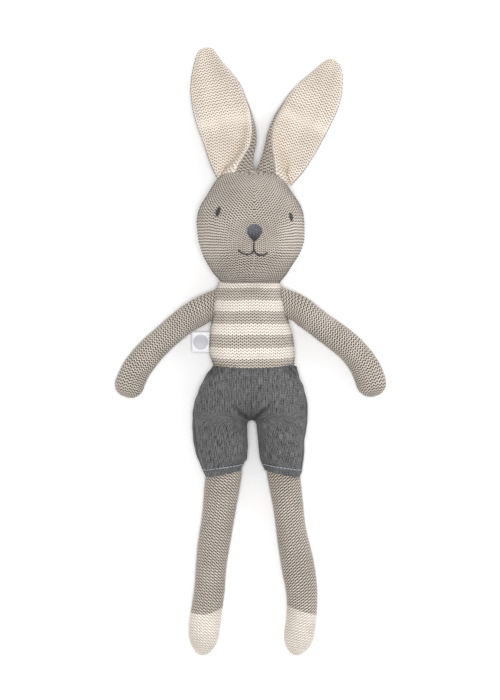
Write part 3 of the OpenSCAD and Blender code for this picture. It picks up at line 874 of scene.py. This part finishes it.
def build_ear(name):
    side = SIDES[name]
    joint = next(j for j in frame["joints"] if j["name"] == f"ear_{name}_flop")
    root = np.array(joint["pos_m"]) / MM
    turn = EAR_TURN[name]
    up = np.array([side * math.sin(turn), math.cos(turn)])
    across = np.array([side * math.cos(turn), -math.sin(turn)])
    table = EAR[name]
    steps, along = row_steps(lambda a: spline(a, table[:, 0], table[:, 1]), table)
    outer, inner, lip = spline(steps, table[:, 0], table[:, 1:]).T
    fold = np.clip((lip - inner) / 12, 0, 1.1)
    thin = np.clip((outer - inner) / 16, 0.1, 1)
    crease = lip + 4.5 + 4.5 * fold
    lining, back = ear_section(outer, inner, lip, crease, fold, thin, steps)
    # the ear comes down to the floor along its length, with a slight arch
    arch = 1.2 * np.sin(np.clip(steps / EAR_LENGTH, 0, 1) * math.pi)
    base = root[2] - 0.2848 * np.maximum(steps, -3) + arch
    n = int(round(37 / WALE)) * PER_WALE + 1
    # a painted highlight across the lining where the ear bends: its gap shade is lighter there
    band = hump(steps, EAR_HIGHLIGHT_BAND[name], 4.0)[:, None]
    kinds = (
        ("lining", lining, EAR_KNIT, "cream_knit", 0.6, 0.92 - 0.22 * band),
        ("back", back, BACK_KNIT, "grey_knit", 0.0, 1.1),
    )
    for piece, keys, material, slot, shaded, strong in kinds:
        rings = np.stack([path(ring, np.linspace(0, 1, n)) for ring in keys])
        b = rings[..., 0]
        plan = root[:2] + up * steps[:, None, None] + across * b[..., None]
        z = np.maximum(base[:, None] + rings[..., 1], 0.3)
        out = -side
        p = np.concatenate([plan, z[..., None]], -1)
        p = raised(p, False, out, lumps(p, 61 + len(name), 24, 0.28) * thin[:, None])
        length = lengths(rings.swapaxes(0, 1)).T
        u = (length - length[:, n // 2:n // 2 + 1]) / (WALE * 0.97) + 20
        v = (along / (ROW * 1.03))[:, None] + 0.012 * b
        low = ease(fold, 0.05, 0.45) * (1 - ease(np.clip(steps / EAR_LENGTH, 0, 1), 0.26, 0.5))
        edge = np.minimum(length, length[:, -1:] - length)
        obj = dress(
            f"ear_{name}_{piece}_knit", p, False, out, u, v, material, deep=0.65, seed=23,
            # painted warm shade along the lining's crease, near the base
            crease=shaded * hump(b, (crease - 0.2)[:, None], 3.6) * low[:, None],
            line=0.2 + 0.12 * ease(steps, 36, 50)[:, None], strong=strong,
            fade=ease(edge, 0, 1.2) * ease(82.4 - steps, 0, 2)[:, None],
        )
        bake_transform(obj)
        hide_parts(f"ear_{name}_{piece}")


for name in SIDES:
    build_ear(name)

# ---- shorts

# distance down the toy, and how far the outer and the inner side of a leg are from the middle seam
SHORTS_OUTER = {
    "left": [(22.3, 29.9), (28.5, 31.7), (38.5, 34.3), (50, 36.4), (59, 36.7), (68, 35.8), (77, 34.9),
             (88, 34.0), (92, 33.5), (96.3, 31.8)],
    "right": [(22.3, 25.9), (28.5, 29.3), (38.5, 33.9), (50, 37.4), (59, 38.5), (68, 38.1), (77, 37.0),
              (88, 33.6), (92, 31.9), (96.3, 29.5)],
}
SHORTS_INNER = {
    "left": [(59.2, 0.3), (60.2, 2.2), (62, 3.2), (66, 3.7), (77, 4.8), (88, 5.8), (92, 7.0), (96.3, 9.0)],
    "right": [(59.2, 0.3), (60.2, 1.9), (62, 2.8), (66, 2.8), (77, 2.3), (87, 2.9), (91, 4.8), (96.3, 6.8)],
}
# height along the toy, lowest and highest point
SHORTS_DEPTH = np.array([
    (22.3, 0.3, 41.4), (28.5, 0.25, 43.2), (38.5, 0.25, 44.4), (50, 0.25, 43.6), (59, 0.3, 40.5),
    (66, 0.3, 36.5), (77, 0.4, 32.6), (88, 0.5, 29.4), (96.3, 0.7, 27.8),
])
SEAM_X = 0.2
CROTCH_Y = -59.2
HEM_Y = -96.3
HEM_STITCH = 4.4  # the hem's stitches are this far above its edge, mm
WAIST_Y = -22.3


def crease_line(x, y, start, direction, length, width):
    """A soft fold that runs from start: how deep it is at x, y."""
    dx, dy = x - start[0], y - start[1]
    size = math.hypot(*direction)
    ux, uy = direction[0] / size, direction[1] / size
    along, off = dx * ux + dy * uy, -dx * uy + dy * ux
    spread = width * (1 + 0.6 * np.clip(along, 0, None) / length)
    return np.exp(-((off / spread) ** 2)) * ease(along, -1.5, 2.5) * (1 - ease(along, 0.35 * length, length))


def shorts_surface(name):
    """Grid of half the shorts, from waist to hem and from the front seam round the side to the back."""
    side = SIDES[name]
    n = 181
    ys = [np.linspace(WAIST_Y, -48, 40)[:-1], np.linspace(-48, -64, 34)[:-1], np.linspace(-64, HEM_Y, 52)]
    ys = np.concatenate(ys)
    outer = spline(-ys, *np.array(SHORTS_OUTER[name]).T) - SEAM_X * side
    inner = spline(-np.minimum(ys, CROTCH_Y), *np.array(SHORTS_INNER[name]).T)
    low, high = spline(-ys, SHORTS_DEPTH[:, 0], SHORTS_DEPTH[:, 1:]).T

    def rings(start, power, turns):
        across, up = even_ovals((outer - start) / 2, (high - low) / 2, power, turns, n)
        return np.stack([((outer + start) / 2)[:, None] + across, ((low + high) / 2)[:, None] + up], -1)

    # half ovals round the seat turn into whole ovals round the leg
    seat = rings(-outer, 2.5, (math.pi / 2, -math.pi / 2))
    leg = rings(np.where(ys < CROTCH_Y, inner, 0.0), 2.25, (math.pi, -math.pi))
    flat = seat + (leg - seat) * ease(-ys, 52.0, -CROTCH_Y)[:, None, None]
    x, z = flat[..., 0], flat[..., 1]
    y = np.repeat(ys[:, None], n, 1)
    front = ease(z, 14, 26)
    y = y - 3.0 * (1 - np.clip(x / 29, 0, 1) ** 2) * front * ease(y, -44, WAIST_Y)
    y = y - 1.8 * np.clip(x / outer[:, None], 0, 1) ** 14 * ease(y, -29, WAIST_Y)
    inside = 1 - np.clip((x - inner[:, None]) / (outer - inner)[:, None], 0, 1)
    y = y + 4.6 * inside**1.3 * (1 - ease(y, HEM_Y, -76))
    return np.stack([side * x + SEAM_X, y, z], -1)


def shorts_folds(side, x, y, z, front):
    """Depths of all the folds at x, y, and of the pleats at the waist's corner alone."""
    folds = 0.0
    pulls = (
        (1.9, (0.6, -58.6), (0.80, 0.60), 20, 1.1),
        (1.0, (1.0, -60.2), (0.97, 0.22), 17, 1.1),
        (0.8, (0.5, -56.5), (0.45, 0.89), 15, 1.6),
        (0.35, (20.5 + 4 * (side > 0), -95), (-0.12, 1.0), 24, 2.0),
        (0.3, (13.0 - 3 * (side > 0), -93), (0.22, 1.0), 20, 1.8),
    )
    for deep, start, direction, length, width in pulls:
        folds = folds + deep * crease_line(x, y, start, direction, length, width) * front
    corner = 24.6 if side < 0 else 26.8
    pleats = 0.0
    for inset, deep in ((0.0, 1.0), (2.5, 0.85), (5.0, 0.5)):
        start = (corner - inset, -22.4 - 0.45 * inset)
        pleats = pleats + deep * crease_line(x, y, start, (0.66, -0.75), 14, 0.95) * ease(z, 5, 17)
    return folds + 0.8 * pleats, pleats


def gathers(side, share, along):
    """Small uneven waves that hang from the waist."""
    r = np.random.default_rng(31 if side > 0 else 32)
    total = 0.0
    for k in (9, 13, 17, 22):
        wave = np.sin(2 * math.pi * (k * share + 0.03 * np.sin(along / 3 + k)) + r.uniform(0, 6.28))
        total = total + wave * r.uniform(0.5, 1)
    return total / 3 * np.exp(-along / 6.5) * 0.9


def build_shorts(name):
    side = SIDES[name]
    p = shorts_surface(name)
    n = p.shape[1]
    out = -side
    normal = turned(p, False, out)
    x, y, z = p[..., 0], p[..., 1], p[..., 2]
    front = ease(z, 12, 26)
    along = lengths(p)
    round_it = lengths(p.swapaxes(0, 1)).T
    share = round_it / round_it[:, -1:]
    hem = along[-1:] - along
    to_back = round_it[:, -1:] - round_it
    folds, pleats = shorts_folds(side, side * x, y, z, front)
    seam_front = np.exp(-round_it / 0.6) * (z > 6) * (0.35 + 0.65 * ease(-y, 36, 56))
    seam_back = np.exp(-to_back / 0.8)
    outseam = hump(share, 0.44, 0.010)
    stitch_groove = hump(hem, HEM_STITCH, 0.45)
    # the lumps and gathers fade out at the two middle seams, where both halves meet
    own = ease(np.minimum(round_it, to_back), 0, 9)
    shape = lumps(p, 71 + len(name), 21, 0.75) * own * ease(along, 2, 12) * ease(hem, 2, 12)
    height = shape + lumps(p, 5, 9, 0.22) + gathers(side, share, along) * (0.4 + 0.6 * front) * own
    height = height + 0.45 * (1 - ease(hem, 4.2, 5.0)) - folds - 0.7 * (seam_front + seam_back)
    height = (height - 0.5 * outseam - 0.45 * stitch_groove) * (0.35 + 0.65 * front)
    p = p + normal * height[..., None]
    p[..., 0] = np.where(np.abs(x - SEAM_X) < 0.02, x, p[..., 0])
    p[..., 2] = np.maximum(p[..., 2], 0.2)
    # painted shade in the folds and pleats, along the seam grooves and the sides, and at the waist's edge
    dark = 0.34 * folds + 0.5 * pleats + (0.22 + 0.3 * ease(-y, 38, 46)) * seam_front * front
    dark = dark + 0.45 * (outseam + hump(share, 0.485, 0.045)) + 0.35 * stitch_groove
    dark = np.clip(dark + 0.25 * np.exp(-along / 1.2), 0, 0.7)
    stitch_row = int(np.argmin(np.abs(hem[:, n // 3] - HEM_STITCH)))
    stitch_line = p[stitch_row] + normal[stitch_row] * 0.35
    down = np.array([0, -1.0, 0])
    # how far in and down the rings lie that turn the cloth's edge in at the hem and at the waist
    hem_turn = [(0.25, 0.25), (0.75, -0.05), (1.2, -0.8), (1.3, -4.0)]
    waist_turn = [(1.2, -5), (1.2, -0.8), (0.75, -0.05), (0.25, 0.25)]
    p = np.stack([p[0] - normal[0] * d - down * e for d, e in waist_turn] + [*p]
                 + [p[-1] - normal[-1] * d + down * e for d, e in hem_turn])
    ends = ((len(waist_turn), len(hem_turn)), (0, 0))
    dark, u, v = (np.pad(g, ends, "edge") for g in (dark, round_it, along))
    # painted shade where the cloth turns in at the waist and the hem
    dark[:2], dark[-2:] = 0.6, 0.6
    u += 0.0 if side > 0 else 230.0
    v[:4] -= np.array([5.5, 1.8, 1.1, 0.5])[:, None]
    v[-4:] += np.array([0.5, 1.1, 1.8, 5.0])[:, None]
    cloth = grid(f"shorts_{name}", p, False, out, {"crease": dark}, uv=(u, v), material=CHAMBRAY)
    seats = {"left": "shorts_seat_front", "right": "shorts_seat_back"}
    start, end = (0, -57 * MM, SEAM_Z * MM), (side * 14 * MM, -80 * MM, SEAM_Z * MM)
    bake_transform(cloth)
    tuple(start)
    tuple(end)
    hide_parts(f"shorts_leg_{name}", seats[name])
    build_hem_thread(name, stitch_line)


def build_hem_thread(name, line):
    """Even machine stitches that hold the folded hem."""
    loop = np.vstack([line, line[:1]])
    along = lengths(loop)
    stitch = along[-1] / int(along[-1] / 2.3)
    lines = []
    for k in range(round(along[-1] / stitch)):
        at = np.linspace((k + 0.06) * stitch, (k + 0.94) * stitch, 9)
        lines.append(np.column_stack([np.interp(at, along, loop[:, i]) for i in range(3)]))
    obj = threads(f"hem_thread_{name}", lines, 0.27, PALE_THREAD)
    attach(obj, f"leg_{name}")
    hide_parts(f"hem_stitch_{name}")


for name in SIDES:
    build_shorts(name)

# ---- seams, waistband and label


def coil(line, turns, radius, thick, name, body, node, material=GREY_THREAD):
    """Overcast stitches: one thread wound along a line."""
    t = np.linspace(0, 1, turns * 14)
    middle = path(line, t)
    flow = unit(np.gradient(middle, axis=0))
    a = unit(np.cross(flow, [0.1, 0.2, 1.0]))
    b = np.cross(flow, a)
    angle = (2 * math.pi * turns * t)[:, None]
    wound = middle + radius * (a * np.cos(angle) + b * np.sin(angle))
    obj = threads(name, [wound], thick, material, sides=7)
    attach(obj, body)
    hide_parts(node)


def build_seams():
    angle = np.linspace(0, 2 * math.pi, 61)
    c, s = np.cos(angle), np.sin(angle)
    ring = np.column_stack([-1.0 + 18.9 * c, np.full(61, 31.3), 23.2 + 13.6 * s])
    coil(ring, 70, 0.45, 0.28, "neck_thread", "head", "neck_seam")
    for name, side in SIDES.items():
        y = 18 + 8.6 * c
        middle, half = torso_size(y)[:, 0], torso_size(y)[:, 1]
        ring = np.column_stack([middle + side * (half + 0.1), y, 20 + 5.2 * s])
        coil(ring, 26, 0.35, 0.3, f"shoulder_thread_{name}", "torso", f"shoulder_seam_{name}", SEAM_THREAD)
        low, high = (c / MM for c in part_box(f"hip_seam_{name}"))
        y, z = (low.y + high.y) / 2, (low.z + high.z) / 2
        line = np.column_stack([np.linspace(low.x, high.x, 9), np.full(9, y), np.full(9, z)])
        coil(line, 18, 0.3, 0.26, f"hip_thread_{name}", "torso", f"hip_seam_{name}")


def build_waistband():
    """Ribbed elastic inside the waist."""
    n, rows = 420, 19
    c, s = oval(np.linspace(0, 2 * math.pi, n, endpoint=False), 2.5)
    y = np.linspace(-29.4, -25.2, rows)[:, None]
    rib = 0.16 * np.cos(2 * math.pi * (y - y[0]) / 0.75)
    low, high = 0.9, 41.0 + rib
    x = 1.9 + (26.3 + rib) * c
    z = (low + high) / 2 + (high - low) / 2 * s
    dip = 3.0 * (1 - np.clip(np.abs(x) / 29, 0, 1) ** 2) * ease(z, 14, 26)
    band = grid("waist_band", np.stack([x, y - dip, z], -1), True, 1.0, material=ELASTIC)
    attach(band, "torso")
    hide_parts("waist_elastic")


def build_label():
    """A tab of satin tape, folded over and caught in the side seam, with a plain dot."""
    low, high = (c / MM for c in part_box("side_label"))
    level = (low.z + high.z) / 2
    inner, outer = -26.0, low.x + 1.3
    reach = np.linspace(0, 1, 30)
    top = np.column_stack([inner + (outer - inner) * reach, level + 0.32 + 0.5 * np.sin(reach * 2.6)])
    turn = np.linspace(math.pi / 2, -math.pi / 2, 9)[1:-1]
    bend = np.column_stack([outer - 0.34 * np.cos(turn), level + 0.24 + 0.34 * np.sin(turn) * 0.9])
    x, z = np.vstack([top, bend, top[::-1] - [0, 0.6]]).T
    y = np.linspace(low.y + 0.1, high.y + 0.9, 25)[:, None]
    sway = 0.12 * np.sin(np.arange(25) * 0.5)[:, None]
    p = np.stack([x + sway, y + 0 * x, z + 0.25 * np.sin((y - y[0]) * 0.4)], -1)
    dot = ((low.x + 6.7) * MM, (low.y + high.y + 1.0) / 2 * MM)
    tab = grid("label_tab", p, False, -1.0, material=satin_material(dot, 5.1 * MM))
    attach(tab, "torso")
    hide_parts("side_label")


build_seams()
build_waistband()
build_label()

# ---- camera, floor and light


def build_stage():
    side = 25.0
    corners = [[-side, -side, 0], [side, -side, 0], [side, side, 0], [-side, side, 0]]
    floor = make("floor", np.array(corners) / MM, [[0, 1, 2, 3]], material=floor_material(), smooth=False)

    camera = bpy.data.cameras.new("camera")
    camera.sensor_width = 36
    camera.lens = 250.9
    camera.clip_start, camera.clip_end = 0.05, 60
    eye = bpy.data.objects.new("camera", camera)
    eye.location = (-0.0007, -0.0131, 3.22)
    eye.rotation_euler = (0, 0, 0)
    bpy.context.collection.objects.link(eye)
    bpy.context.scene.camera = eye

    def area(name, place, aim, size, power, colour=(1, 1, 1)):
        lamp = bpy.data.lights.new(name, "AREA")
        lamp.shape = "SQUARE"
        lamp.size = size
        lamp.energy = power
        lamp.color = colour
        obj = bpy.data.objects.new(name, lamp)
        obj.location = place
        obj.rotation_euler = (Vector(aim) - Vector(place)).to_track_quat("-Z", "Y").to_euler()
        bpy.context.collection.objects.link(obj)

    area("overhead", (0.0, -0.05, 2.4), (0, 0, 0), 0.5, 34.0)
    area("key", (0.95, 0.75, 0.85), (0, 0, 0), 0.7, 6.0)

    world = bpy.data.worlds.new("studio")
    world.use_nodes = True
    back = world.node_tree.nodes["Background"]
    back.inputs[0].default_value = (1, 1, 1, 1)
    back.inputs[1].default_value = 0.62
    bpy.context.scene.world = world
    bpy.context.scene.view_settings.view_transform = "Standard"


build_stage()
